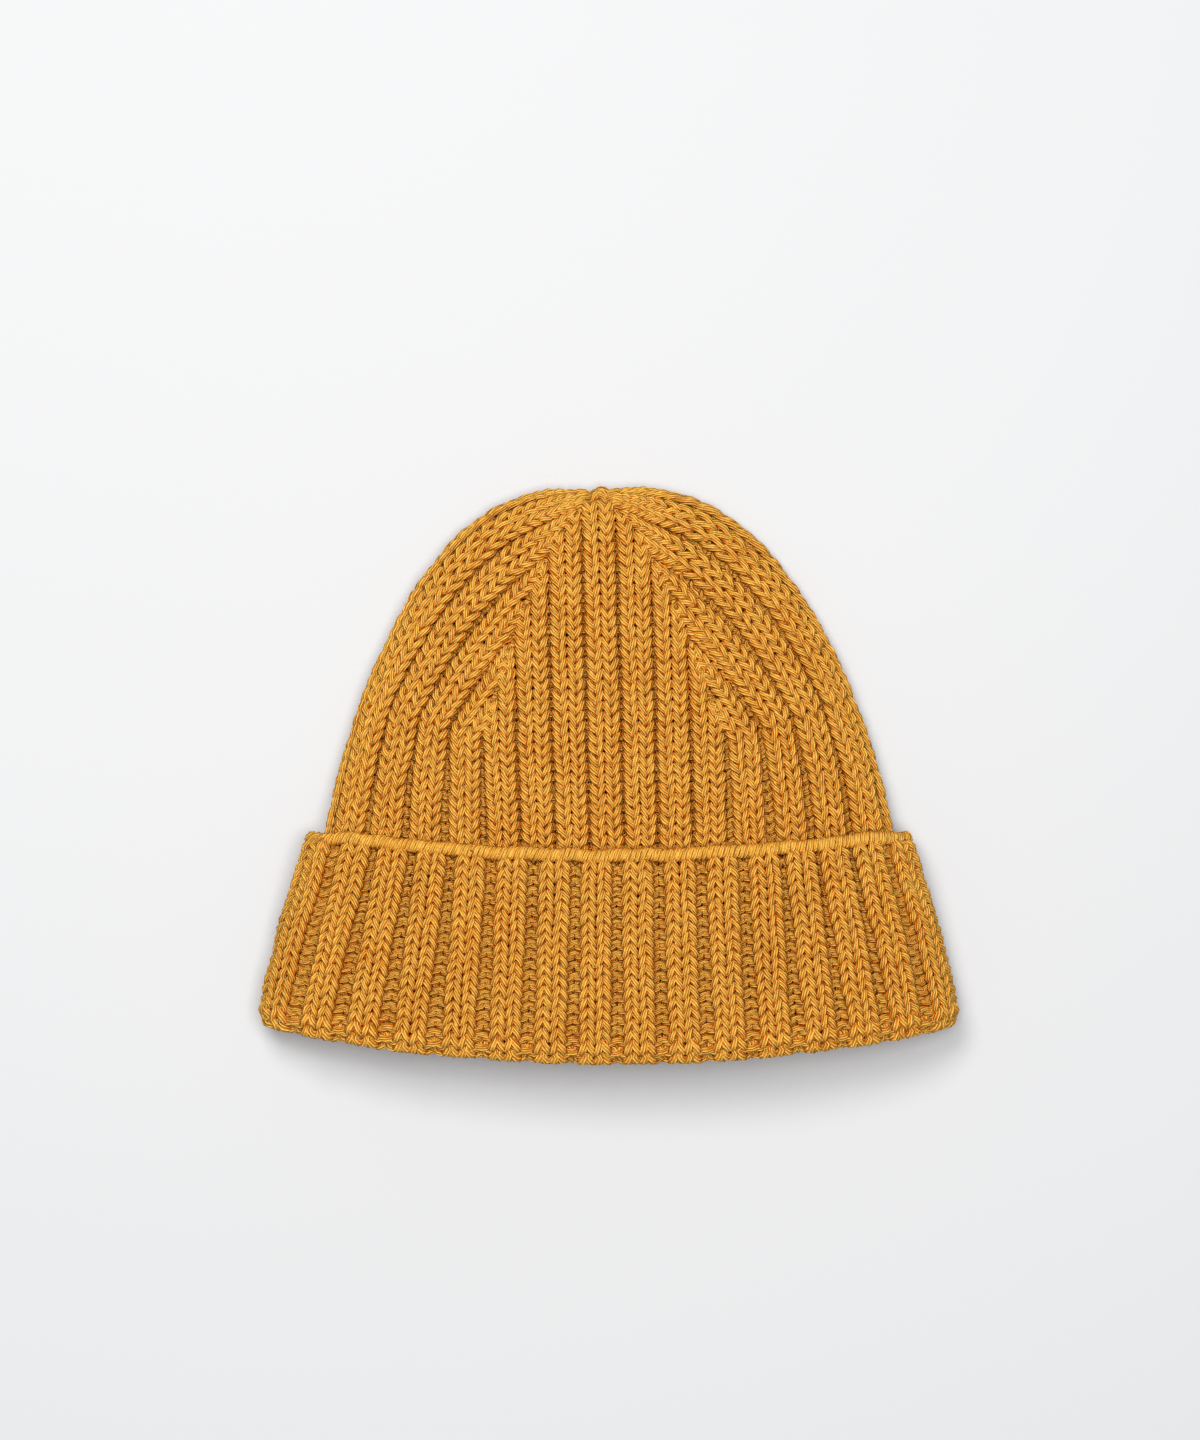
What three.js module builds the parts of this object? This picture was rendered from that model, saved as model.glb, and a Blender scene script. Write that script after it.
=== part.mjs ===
// A 2 by 2 ribbed knit cap with a turned-up cuff, lying on its back as it does on a table.
// Millimetres. X runs across the cap, Y from the mouth to the tip of the crown, and Z up,
// with the origin on the table under the middle of the cap.
import * as THREE from 'three';

// Outside edge of the body, seen from above
const TIP_Y = 96.5;
const SHOULDER_DEPTH = 115.3;
const SHOULDER_HALF_WIDTH = 96;
const OUTLINE_POWER = 0.34;
const OUTLINE_FULLNESS = 0.1;
const SIDE_FLARE = 0.25;
const TIP_LEAN = -1.4;

// Knitted wall
const WALL = 3.2;
const RELIEF = 1.1;
const LAYER_STEP = 7;
const RIM_GAP = 0.3;

// Ribs: two knit and two purl columns each, numbered by the lines between columns
const RIBS = 32;
const RIB_COLUMNS = 4;
const COLUMNS = RIBS * RIB_COLUMNS;
const RIB_RELIEF = [1, 0, -1, 0];
const FADE_ROWS = 3;
const PANEL_HALF = 14;
const SIDE_COLUMNS = COLUMNS / 2 - 2 * PANEL_HALF;
const SIDE_SKEW = 0.12;

// Heights above the table of the middle of the wall
const TOP_Z = 27.5;
const TOP_FALL = 0.04;
const TOP_Z_AT = -20;
const EDGE_Z = 9.5;
const EDGE_LIFT = 3.5;
const TOP_ROUNDNESS = 3;
const BACK_ROUNDNESS = 8;

// Rows along the middle line of the front: the cuff, and the crown up to its shaped part
const CUFF_TOP_Y = -26;
const FOLD_Y = -90.8;
const CUFF_END_Y = -84;
const CUFF_ROWS = [CUFF_TOP_Y, -49, -72, FOLD_Y];
const FOLD_STEPS = 4;
const CROWN_ROWS = [CUFF_END_Y + RIM_GAP, -55, CUFF_TOP_Y, -13, 0];
const SHAPING_Y = 11.2;
const SHAPING_HEIGHT = 80.7;
const SHAPING_POWER = 0.6;
const STEP_DOWN_FROM = 4;
const STEP_DOWN_LENGTH = 24;

// Width of one column, where the middle rib lies, and how far a row's ends rise, by row
const CROWN_COLUMN = 2.88;
const FOLD_COLUMN = 3.73;
const CUFF_TOP_COLUMN = 3.42;
const FOLD_CENTRE = 2.7;
const CROWN_CENTRE = -1.4;
const CROWN_DRIFT = -0.027;
const FOLD_RISE = 10.8;
const CUFF_TOP_RISE = 6.7;
const CROWN_RISE = 9.5;
const SHAPING_RISE = 15;

const clamp01 = (t) => Math.min(Math.max(t, 0), 1);
const smooth = (t) => clamp01(t) ** 2 * (3 - 2 * clamp01(t));
const mix = THREE.MathUtils.lerp;

// Half width of the body at height y, and the sideways lean of its middle
function halfWidth(y) {
  const q = Math.max((TIP_Y - y) / SHOULDER_DEPTH, 0);
  if (q > 1) return SHOULDER_HALF_WIDTH + SIDE_FLARE * (q - 1) * SHOULDER_DEPTH;
  return SHOULDER_HALF_WIDTH * q ** OUTLINE_POWER * (1 + OUTLINE_FULLNESS * q * (1 - q));
}

const lean = (y) => TIP_LEAN * clamp01(y / TIP_Y);

// The outside edge as a chain of short segments, closer together toward the tip
const OUTLINE_SEGMENTS = 160;
const OUTLINE_END = 1.9;
const outline = [];
for (let i = 0; i <= OUTLINE_SEGMENTS; i += 1) {
  const y = TIP_Y - SHOULDER_DEPTH * OUTLINE_END * (i / OUTLINE_SEGMENTS) ** 3;
  outline.push(new THREE.Vector3(halfWidth(y), y, 0));
}

// The point of the edge nearest to p, on the side that p is on
function nearestOnEdge(p) {
  const q = new THREE.Vector3(Math.abs(p.x), p.y, 0);
  const segment = new THREE.Line3();
  const candidate = new THREE.Vector3();
  const best = outline[0].clone();
  for (let i = 1; i < outline.length; i += 1) {
    segment.set(outline[i - 1], outline[i]).closestPointToPoint(q, true, candidate);
    if (candidate.distanceToSquared(q) < best.distanceToSquared(q)) best.copy(candidate);
  }
  return best;
}

// How far the middle of the wall lies inside the outside edge at p
const edgeInset = WALL / 2 + RELIEF;
function depthInside(p) {
  const q = new THREE.Vector3(Math.abs(p.x), p.y, 0);
  return Math.max(nearestOnEdge(p).distanceTo(q) - edgeInset, 0);
}

// Lifts a point of the plan to the front or the back of the body
function lift(p, front) {
  const underCuff = smooth((STEP_DOWN_FROM - p.y) / STEP_DOWN_LENGTH);
  const edge = EDGE_Z + EDGE_LIFT * underCuff;
  const inward = 1 - clamp01(depthInside(p) / SHOULDER_HALF_WIDTH);
  const roundness = front ? TOP_ROUNDNESS : BACK_ROUNDNESS;
  const top = TOP_Z - TOP_FALL * (p.y - TOP_Z_AT);
  const floor = WALL / 2 + LAYER_STEP * underCuff;
  const z = mix(edge, front ? top : floor, Math.sqrt(1 - inward ** roundness));
  return new THREE.Vector3(p.x + lean(p.y), p.y, z);
}

// A row: its height at the middle, half the panel's width, its middle and the rise of its ends
function crownRow(y) {
  const below = clamp01((CUFF_TOP_Y - y) / (CUFF_TOP_Y - FOLD_Y));
  const above = smooth((y - CUFF_TOP_Y) / (SHAPING_Y - CUFF_TOP_Y));
  const centre = CROWN_CENTRE + CROWN_DRIFT * Math.max(y, CUFF_TOP_Y);
  const rise = mix(mix(CROWN_RISE, FOLD_RISE, below), SHAPING_RISE, above);
  const column = mix(CROWN_COLUMN, FOLD_COLUMN, below);
  return { y, centre: mix(centre, FOLD_CENTRE, below), half: PANEL_HALF * column, rise, above };
}

function cuffRow(y) {
  const below = (CUFF_TOP_Y - y) / (CUFF_TOP_Y - FOLD_Y);
  const column = mix(CUFF_TOP_COLUMN, FOLD_COLUMN, below);
  const rise = mix(CUFF_TOP_RISE, FOLD_RISE, below);
  return { y, centre: FOLD_CENTRE, half: PANEL_HALF * column, rise, above: 0 };
}

// Height of a row at the distance x from the middle: curved low down, straight and kinked higher up
const ROW_CURVE = 2;
function rowHeight(row, x) {
  const edge = halfWidth(row.y + row.rise);
  const curved = clamp01(Math.abs(x) / edge) ** ROW_CURVE;
  const kinked = clamp01((Math.abs(x) - row.half) / (edge - row.half));
  return row.y + row.rise * mix(curved, kinked, row.above);
}

// Where the row of a side panel leaves the edge: across a plain row, square to the edge if shaped
function rowEnd(row, side) {
  if (row.shaped) {
    const corner = new THREE.Vector3(row.centre + side * row.half, row.y, 0);
    const onEdge = nearestOnEdge(corner);
    return new THREE.Vector3(side * onEdge.x, onEdge.y, 0);
  }
  const y = row.y + row.rise;
  return new THREE.Vector3(side * halfWidth(y), y, 0);
}

// Points of the plan along a side panel, from its corner to the edge, closer toward the edge
const SIDE_SAMPLES = 24;
function sidePlan(row, side) {
  const corner = row.centre - lean(row.y) + side * row.half;
  const start = new THREE.Vector3(corner, rowHeight(row, corner), 0);
  const end = rowEnd(row, side);
  const run = new THREE.Vector3().subVectors(start, end);
  end.addScaledVector(run, edgeInset / run.length());
  run.subVectors(start, end);
  const points = [];
  for (let i = 0; i <= SIDE_SAMPLES; i += 1) {
    const p = end.clone().addScaledVector(run, (1 - i / SIDE_SAMPLES) ** 2);
    if (!row.shaped) p.y = rowHeight(row, p.x);
    points.push(p);
  }
  return points;
}

// Even steps along a chain of points, a little wider at its middle
function spread(chain, count) {
  const length = [0];
  for (let i = 1; i < chain.length; i += 1) {
    length.push(length[i - 1] + chain[i].distanceTo(chain[i - 1]));
  }
  const total = length[chain.length - 1];
  const points = [];
  for (let i = 0, k = 1; i <= count; i += 1) {
    const t = Math.abs(1 - (2 * i) / count);
    const even = 1 - t;
    const eased = even * (1 - SIDE_SKEW) + SIDE_SKEW * even ** 2;
    const at = (total / 2) * (i * 2 <= count ? eased : 2 - eased);
    while (k < chain.length - 1 && length[k] < at) k += 1;
    points.push(chain[k - 1].clone().lerp(chain[k], (at - length[k - 1]) / (length[k] - length[k - 1])));
  }
  return points;
}

// The four panels of a row, front, right, back and left, each from its first column line to its last
function panels(row, lost) {
  const face = (front) => {
    const points = [];
    const half = PANEL_HALF - lost;
    for (let i = -half; i <= half; i += 1) {
      const x = row.centre - lean(row.y) + (half ? (i / half) * row.half : 0);
      points.push(lift(new THREE.Vector3(x, rowHeight(row, x), 0), front));
    }
    return front ? points : points.reverse();
  };
  const flank = (side) => {
    const plan = sidePlan(row, side);
    const chain = plan.map((p) => lift(p, true));
    chain.push(...plan.slice(0, -1).reverse().map((p) => lift(p, false)));
    const points = spread(chain, SIDE_COLUMNS - 2 * lost);
    return side > 0 ? points : points.reverse();
  };
  return [face(true), flank(1), face(false), flank(-1)];
}

// One sheet of knitting: middle points with their relief, and its faces
class Sheet {
  constructor() {
    this.points = [];
    this.relief = [];
    this.faces = [];
  }

  add(point, line, strength) {
    const part = ((line % RIB_COLUMNS) + RIB_COLUMNS) % RIB_COLUMNS;
    this.relief.push(RELIEF * RIB_RELIEF[part] * strength);
    return this.points.push(point) - 1;
  }

  // A closed row, given as panels; returns the panels as lists of point numbers
  addRow(row, lost, offset = 0) {
    const starts = [-PANEL_HALF, PANEL_HALF, COLUMNS / 2 - PANEL_HALF, COLUMNS / 2 + PANEL_HALF];
    const rings = panels(row, lost);
    const placed = offset ? offsetPanels(row, rings, offset) : rings;
    const strength = clamp01((PANEL_HALF - lost) / FADE_ROWS);
    const numbers = placed.map((points, panel) => (
      points.slice(0, -1).map((p, i) => this.add(p, starts[panel] + lost + i, strength))
    ));
    if (lost === PANEL_HALF) return this.closeTip(numbers, rings[2][0]);
    return numbers.map((list, panel) => [...list, numbers[(panel + 1) % numbers.length][0]]);
  }

  // At the tip both side panels end on one line from the front to the back
  closeTip(numbers, backPoint) {
    const back = this.add(backPoint, 0, 0);
    const line = [...numbers[1], back];
    return [[line[0]], line, [back], [...line].reverse()];
  }

  // Faces between two rows; a panel that is two columns shorter above ends in a triangle at each end
  join(low, high) {
    low.forEach((a, panel) => {
      const b = high[panel];
      const lost = (a.length - b.length) / 2;
      if (lost) {
        this.faces.push([a[0], a[1], b[0]], [a[a.length - 2], a[a.length - 1], b[b.length - 1]]);
      }
      for (let i = 0; i + 1 < b.length; i += 1) {
        this.faces.push([a[i + lost], a[i + lost + 1], b[i + 1]], [a[i + lost], b[i + 1], b[i]]);
      }
    });
  }

  // The wall as a closed solid: both faces of the sheet, and a strip along each free edge
  solid() {
    const middle = new THREE.BufferGeometry().setFromPoints(this.points);
    middle.setIndex(this.faces.flat());
    middle.computeVertexNormals();
    const normal = new THREE.Vector3();
    const shifted = (distance) => this.points.map((p, i) => {
      normal.fromBufferAttribute(middle.attributes.normal, i);
      const q = p.clone().addScaledVector(normal, distance + this.relief[i]);
      q.z = Math.max(q.z, 0);
      return q;
    });
    const count = this.points.length;
    const faces = [];
    const edges = new Map();
    for (const [a, b, c] of this.faces) {
      faces.push([a, b, c], [a + count, c + count, b + count]);
      for (const [from, to] of [[a, b], [b, c], [c, a]]) {
        if (!edges.delete(`${to} ${from}`)) edges.set(`${from} ${to}`, [from, to]);
      }
    }
    for (const [from, to] of edges.values()) {
      faces.push([to, from, from + count], [to, from + count, to + count]);
    }
    const geometry = new THREE.BufferGeometry();
    geometry.setFromPoints([...shifted(WALL / 2), ...shifted(-WALL / 2)]);
    geometry.setIndex(faces.flat());
    geometry.computeVertexNormals();
    return geometry;
  }
}

// The same row pushed outward by the offset, square to the surface of the body
function offsetPanels(row, rings, offset) {
  const above = panels({ ...row, y: row.y + 1 }, 0);
  const below = panels({ ...row, y: row.y - 1 }, 0);
  return rings.map((points, panel) => points.map((p, i) => {
    const before = i ? points[i - 1] : rings[(panel + 3) % 4].at(-2);
    const after = i + 1 < points.length ? points[i + 1] : rings[(panel + 1) % 4][1];
    const along = new THREE.Vector3().subVectors(after, before);
    const up = new THREE.Vector3().subVectors(above[panel][i], below[panel][i]);
    return p.clone().addScaledVector(along.cross(up).normalize(), offset);
  }));
}

// Crown: the body from inside the fold up to the tip. In the shaped part, each row loses one column
// at both ends of all four panels, so that the ribs run into four slanting lines.
function makeCrown() {
  const sheet = new Sheet();
  const rows = CROWN_ROWS.map((y) => sheet.addRow(crownRow(y), 0));
  for (let lost = 0; lost <= PANEL_HALF; lost += 1) {
    const left = 1 - lost / PANEL_HALF;
    const y = SHAPING_Y + SHAPING_HEIGHT * (1 - left ** (1 / SHAPING_POWER));
    const row = { ...crownRow(SHAPING_Y), y, rise: 0, shaped: true };
    row.centre = CROWN_CENTRE + CROWN_DRIFT * y;
    row.half = PANEL_HALF * CROWN_COLUMN * left;
    rows.push(sheet.addRow(row, lost));
  }
  for (let i = 1; i < rows.length; i += 1) sheet.join(rows[i - 1], rows[i]);
  return sheet.solid();
}

// Turned cuff: down the outside from the cast-on edge, round the fold and up inside to the crown
function makeCuff() {
  const sheet = new Sheet();
  const rows = CUFF_ROWS.map((y) => sheet.addRow(cuffRow(y), 0, LAYER_STEP));
  const radius = LAYER_STEP / 2;
  for (let i = 1; i < FOLD_STEPS; i += 1) {
    const turn = (Math.PI * i) / FOLD_STEPS;
    const row = { ...cuffRow(FOLD_Y), y: FOLD_Y - radius * Math.sin(turn) };
    rows.push(sheet.addRow(row, 0, radius + radius * Math.cos(turn)));
  }
  rows.push(sheet.addRow(crownRow(FOLD_Y), 0), sheet.addRow(crownRow(CUFF_END_Y), 0));
  for (let i = 1; i < rows.length; i += 1) sheet.join(rows[i - 1], rows[i]);
  return sheet.solid();
}

const wool = (colour) => new THREE.MeshStandardMaterial({ color: colour, roughness: 0.95, metalness: 0 });

const hat = new THREE.Group();

const crown = new THREE.Mesh(makeCrown(), wool(0xd6922f));
crown.name = 'crown';
hat.add(crown);

const cuff = new THREE.Mesh(makeCuff(), wool(0xc98527));
cuff.name = 'turned_cuff';
hat.add(cuff);

export default hat;
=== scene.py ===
import math
import bpy
import numpy as np
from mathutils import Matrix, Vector


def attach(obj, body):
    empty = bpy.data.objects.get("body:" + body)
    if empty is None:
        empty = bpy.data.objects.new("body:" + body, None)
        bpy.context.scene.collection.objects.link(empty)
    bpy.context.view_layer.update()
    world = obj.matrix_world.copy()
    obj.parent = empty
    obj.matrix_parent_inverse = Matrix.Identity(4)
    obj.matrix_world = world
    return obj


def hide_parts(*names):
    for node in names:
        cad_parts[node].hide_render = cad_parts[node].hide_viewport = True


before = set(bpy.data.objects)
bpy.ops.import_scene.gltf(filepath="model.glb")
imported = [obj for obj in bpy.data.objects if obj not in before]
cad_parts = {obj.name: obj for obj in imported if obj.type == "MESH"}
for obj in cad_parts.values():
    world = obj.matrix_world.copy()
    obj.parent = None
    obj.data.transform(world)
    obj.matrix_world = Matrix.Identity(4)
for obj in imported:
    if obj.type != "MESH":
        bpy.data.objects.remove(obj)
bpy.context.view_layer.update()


# Crown. The body of the hat is one soft bag of two by two rib, knitted in the round in thick
# plied wool. It lies flat on its back. Its rows run level across the front and the back, and
# four slanting shaping lines turn them square to the sides, where the ribs bend to the tip.

# Sizes are millimetres until a mesh is made
MM = 0.001

# Outline of the body, seen from above
TIP_Y = 96.5
SHOULDER_DEPTH = 115.3
SHOULDER_HALF_WIDTH = 96
OUTLINE_POWER = 0.34
OUTLINE_FULLNESS = 0.1
OUTLINE_REACH = 1.9
OUTLINE_POINTS = 161
SIDE_FLARE = 0.25
TIP_LEAN = -1.4
EDGE_INSET = 3.3

# Heights of the middle of the two layers, which step down where the cuff ends
TOP_Z = 27.5
TOP_FALL = 0.04
TOP_Z_AT = -20
EDGE_Z = 9.5
EDGE_LIFT = 3.5
BACK_Z = 3.0
TOP_ROUNDNESS = 3
BACK_ROUNDNESS = 8
LAYER_STEP = 7
STEP_DOWN_FROM = 4
STEP_DOWN_LENGTH = 24

# Rows: where they lie along the middle of the front, and how far their ends rise
CUFF_TOP_Y = -26
FOLD_Y = -90.8
SHAPING_Y = 11.2
SHAPING_HEIGHT = 80.7
SHAPING_POWER = 0.6
FOLD_RISE = 10.8
CROWN_RISE = 9.5
SHAPING_RISE = 15
DROOP_WIDTH = 14
FOLD_RADIUS = LAYER_STEP / 2
QUARTER_TURN = math.pi / 2 * FOLD_RADIUS
BODY_LENGTH = QUARTER_TURN + SHAPING_Y - FOLD_Y
BODY_ROWS = 31
SHAPED_ROWS = 23

# Columns: numbered to the right from the middle of the front, in panels that the four shaping
# lines part. The middle ones of the front drift a little off the hat's own middle.
CROWN_COLUMN = 2.88
FOLD_COLUMN = 3.73
FOLD_CENTRE = 2.7
CROWN_CENTRE = -1.4
CROWN_DRIFT = -0.027
COLUMNS = 128
HALF_ROUND = COLUMNS // 2
QUARTER_ROUND = COLUMNS // 4
PANEL_HALF = 14
SIDE_COLUMNS = HALF_ROUND - 2 * PANEL_HALF
SIDE_SKEW = -0.1
SIDE_FRONT_SHARE = 0.475
SIDE_POINTS = 25
HALF_COLUMN = 0.5
LINES = np.arange(0, COLUMNS, HALF_COLUMN) - PANEL_HALF


def from_side(u):
    """How many columns lie between a place in a row and the middle of the nearest side."""
    return np.abs((u + HALF_ROUND) % HALF_ROUND - QUARTER_ROUND)


def from_corner(u):
    """How many columns lie between a place in a row and the nearest shaping line."""
    return np.abs(from_side(u) - (QUARTER_ROUND - PANEL_HALF))


def smooth(t):
    """Eases from 0 to 1."""
    t = np.clip(t, 0, 1)
    return t * t * (3 - 2 * t)


def mix(a, b, t):
    return a + (b - a) * t


def half_width(y):
    """Half of the body's width, at a place between the mouth and the tip."""
    q = np.maximum((TIP_Y - np.asarray(y, float)) / SHOULDER_DEPTH, 0)
    rounded = SHOULDER_HALF_WIDTH * q ** OUTLINE_POWER * (1 + OUTLINE_FULLNESS * q * (1 - q))
    flared = SHOULDER_HALF_WIDTH + SIDE_FLARE * (q - 1) * SHOULDER_DEPTH
    return np.where(q > 1, flared, rounded)


def lean(y):
    """How far the middle of the body leans sideways."""
    return TIP_LEAN * np.clip(np.asarray(y, float) / TIP_Y, 0, 1)


edge_y = TIP_Y - SHOULDER_DEPTH * OUTLINE_REACH * np.linspace(0, 1, OUTLINE_POINTS) ** 3
edge = np.stack([half_width(edge_y), edge_y], axis=1)


def nearest_on_edge(plan):
    """The points of the outline's right half that lie nearest to some points."""
    q = np.stack([np.abs(plan[:, 0]), plan[:, 1]], axis=1)[:, None]
    start, run = edge[:-1], np.diff(edge, axis=0)
    t = np.clip(((q - start) * run).sum(-1) / (run * run).sum(-1), 0, 1)
    on = start + run * t[..., None]
    best = ((on - q) ** 2).sum(-1).argmin(axis=1)
    return on[np.arange(len(plan)), best]


def lift(plan, front):
    """Points of the plan, lifted to the middle of the front or the back layer."""
    x, y = plan[:, 0], plan[:, 1]
    off = nearest_on_edge(plan) - np.stack([np.abs(x), y], axis=1)
    inside = np.maximum(np.hypot(off[:, 0], off[:, 1]) - EDGE_INSET, 0)
    under_cuff = smooth((STEP_DOWN_FROM - y) / STEP_DOWN_LENGTH)
    edge_z = EDGE_Z + EDGE_LIFT * under_cuff
    inward = 1 - np.clip(inside / SHOULDER_HALF_WIDTH, 0, 1)
    top = TOP_Z - TOP_FALL * (y - TOP_Z_AT)
    back = BACK_Z + LAYER_STEP * under_cuff
    roundness = TOP_ROUNDNESS if front else BACK_ROUNDNESS
    z = mix(edge_z, top if front else back, np.sqrt(1 - inward ** roundness))
    return np.stack([x + lean(y), y, z], axis=1)


def body_row(y):
    """A full row. Below the cuff's top its ends curve up, and above they begin to turn."""
    below = np.clip((CUFF_TOP_Y - y) / (CUFF_TOP_Y - FOLD_Y), 0, 1)
    above = smooth((y - CUFF_TOP_Y) / (SHAPING_Y - CUFF_TOP_Y))
    centre = mix(CROWN_CENTRE + CROWN_DRIFT * max(y, CUFF_TOP_Y), FOLD_CENTRE, below)
    rise = mix(mix(CROWN_RISE, FOLD_RISE, below), SHAPING_RISE, above)
    half = PANEL_HALF * mix(CROWN_COLUMN, FOLD_COLUMN, below)
    row = dict(y=y, centre=centre, half=half, rise=rise, above=above)
    return dict(lost=0, shaped=False, **row)


def shaped_row(height):
    """A row of the shaping, level on the front and square to the outline on the sides."""
    left = max(1 - height / SHAPING_HEIGHT, 0) ** SHAPING_POWER
    y = SHAPING_Y + height
    centre = CROWN_CENTRE + CROWN_DRIFT * y
    half = PANEL_HALF * CROWN_COLUMN * left
    lost = PANEL_HALF * (1 - left)
    return dict(y=y, centre=centre, half=half, rise=0, above=1, lost=lost, shaped=True)


def row_height(row, x):
    """Where a row lies at some distance from the middle."""
    edge_x = half_width(row["y"] + row["rise"])
    curved = np.clip(np.abs(x) / edge_x, 0, 1) ** 2
    kinked = np.clip((np.abs(x) - row["half"]) / (edge_x - row["half"]), 0, 1)
    drooped = row.get("droop", 0) * np.clip((np.abs(x) - edge_x) / DROOP_WIDTH + 1, 0, 1) ** 2
    return row["y"] + row["rise"] * mix(curved, kinked, row["above"]) - drooped


def side_chain(row, side):
    """Points along a side panel, from its corner on the front, round the edge, to the back."""
    corner = row["centre"] - lean(row["y"]) + side * row["half"]
    start = np.array([corner, row_height(row, corner)], float)
    if row["shaped"]:
        end = nearest_on_edge(start[None])[0] * [side, 1]
    else:
        y = row["y"] + row["rise"]
        end = np.array([side * half_width(y), y], float)
    run = start - end
    end = end + run * EDGE_INSET / np.hypot(*run)
    plan = end + (start - end) * np.linspace(1, 0, SIDE_POINTS)[:, None] ** 2
    if not row["shaped"]:
        plan[:, 1] = row_height(row, plan[:, 0])
    return np.concatenate([lift(plan, True), lift(plan[-2::-1], False)])


def panel(row, number, count):
    """Even points across one of the four panels: front, right, back and left."""
    share = np.linspace(0, 1, count)
    if number % 2 == 0:
        x = row["centre"] - lean(row["y"]) + mix(-1, 1, share) * row["half"]
        points = lift(np.stack([x, row_height(row, x)], axis=1), number == 0)
        return points[::-1] if number == 2 else points
    chain = side_chain(row, 2 - number)
    step = np.linalg.norm(np.diff(chain, axis=0), axis=1)
    length = np.concatenate([[0], np.cumsum(step)])
    front, back = share / SIDE_FRONT_SHARE, (1 - share) / (1 - SIDE_FRONT_SHARE)
    eased = mix(np.minimum(front, back), np.minimum(front, back) ** 2, SIDE_SKEW)
    outer = length[len(length) // 2]
    where = np.where(front <= 1, outer * eased, length[-1] - (length[-1] - outer) * eased)
    points = np.stack([np.interp(where, length, chain[:, k]) for k in range(3)], axis=1)
    return points[::-1] if number == 3 else points


def ring(row, offset=0):
    """A closed row at every half column, numbered from the front's middle to the right. It may
    be pushed outward, square to the surface."""
    u, points, along = [], [], []
    first = -PANEL_HALF
    for number in range(4):
        columns = (2 * PANEL_HALF, SIDE_COLUMNS)[number % 2]
        found = panel(row, number, 2 * columns + 1)
        u.append(first + np.linspace(row["lost"], columns - row["lost"], len(found)))
        points.append(found)
        along.append(np.gradient(found, axis=0))
        first += columns
    u = np.concatenate(u)
    points, along = np.concatenate(points), np.concatenate(along)

    def at_lines(values):
        return np.stack([np.interp(LINES, u, values[:, k], period=COLUMNS) for k in range(3)], axis=1)

    points, along = at_lines(points), at_lines(along)
    along /= np.maximum(np.linalg.norm(along, axis=1, keepdims=True), 1e-6)
    if offset:
        above = ring({**row, "y": row["y"] + 1})[0]
        below = ring({**row, "y": row["y"] - 1})[0]
        out = np.cross(along, above - below)
        points = points + offset * out / np.linalg.norm(out, axis=1, keepdims=True)
    return points, along


def fold_ring(run):
    """A row in the fold at the bottom edge; its run is counted up inside from the lowest line."""
    turn = run / FOLD_RADIUS
    y = FOLD_Y - FOLD_RADIUS * math.cos(turn)
    return ring({**body_row(FOLD_Y), "y": y}, FOLD_RADIUS * (1 - math.sin(turn)))


def body_ring(number):
    """Rows 0 to 30 run up from the middle of the fold, and rows 31 to 54 are shaped."""
    if number >= BODY_ROWS:
        row = shaped_row(SHAPING_HEIGHT * (number - BODY_ROWS) / SHAPED_ROWS)
        return ring(row) + (row["lost"],)
    run = BODY_LENGTH * (number + 0.5) / (BODY_ROWS + 0.5)
    if run < QUARTER_TURN:
        return fold_ring(run) + (0,)
    return ring(body_row(FOLD_Y + run - QUARTER_TURN)) + (0,)


def lay_sheet(numbers, place, rib_depth, thickness):
    """Rows of the knitting as tables: points, and the directions along, up and out of them."""
    laid = [place(n) for n in range(numbers[0] - 1, numbers[-1] + 2)]
    points = np.array([row[0] for row in laid])
    along = np.array([row[1] for row in laid])[1:-1]
    lost = np.array([row[2] for row in laid])
    step = np.diff(points, axis=0)
    # Where a column ends at a shaping line, no row above gives it a direction
    there = from_corner(LINES) >= lost[2:, None] - 0.01
    up = np.where(there[..., None], (step[:-1] + step[1:]) / 2, step[:-1])
    out = np.cross(along, up)
    out /= np.maximum(np.linalg.norm(out, axis=2, keepdims=True), 1e-6)
    depth = np.interp(np.array(numbers), *zip(*rib_depth))
    thick = np.interp(np.array(numbers), *zip(*thickness))
    sheet = dict(points=points[1:-1], along=along, up=up, out=out, lost=lost[1:-1])
    return dict(first=numbers[0], depth=depth, thick=thick, **sheet)


def at_columns(line, u):
    """Values of a row between its half column lines."""
    spot = (np.asarray(u) + PANEL_HALF) / HALF_COLUMN
    low = np.floor(spot).astype(int)
    part = (spot - low)[:, None]
    return line[low % len(line)] * (1 - part) + line[(low + 1) % len(line)] * part


# One strand passes through every column of a row as a loop. Knit columns come in pairs that
# stand forward and purl columns in pairs that stand back, and relaxed ribbing closes up, so
# each column is wider than its share of the row. Widths are in columns, and KNIT_WIDTH in mm.
RIB_COLUMNS = 4
KNIT_WIDTH = 5.1
KNIT_SHARE = 0.45
NARROWEST_LOOP = 1.25
NARROWEST_COLUMN = 1.5
SHAPING_REACH = 5.5
SHAPING_START = 1.5
SHAPING_LEVELS = (0.3, 0.8)
SIDE_FLATNESS = 0.6
SIDE_FLAT_REACH = 6


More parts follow.
